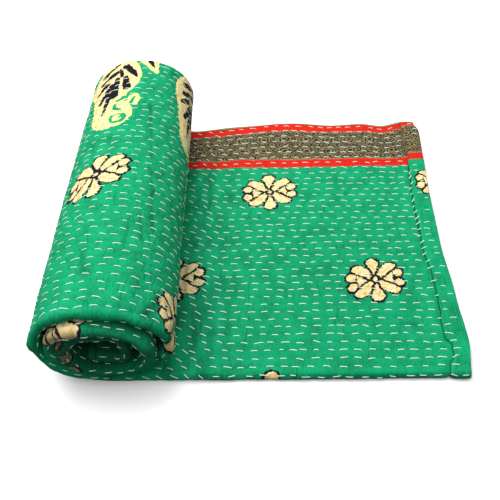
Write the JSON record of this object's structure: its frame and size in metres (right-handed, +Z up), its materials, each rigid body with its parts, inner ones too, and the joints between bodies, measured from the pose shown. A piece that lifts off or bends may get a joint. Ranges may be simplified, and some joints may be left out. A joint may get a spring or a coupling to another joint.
{
  "type": "rolled quilt",
  "caption": "Hand-stitched cotton quilt, folded lengthwise into a band and rolled from one end, with a flat tail left out to the side.",
  "frame": {"origin": "middle of the underside's bounding box, on the surface that the quilt lies on", "axes": "+X from the roll towards the end of the flat tail, +Y away from the viewer along the roll's axis, +Z up"},
  "size_m": [0.4102, 0.3984, 0.1112],
  "materials": {
    "quilted_cotton": "matt printed cotton, emerald green, with rows of white running stitches"
  },
  "bodies": {
    "root": {"quilt": "quilted_cotton"}
  },
  "joints": []
}
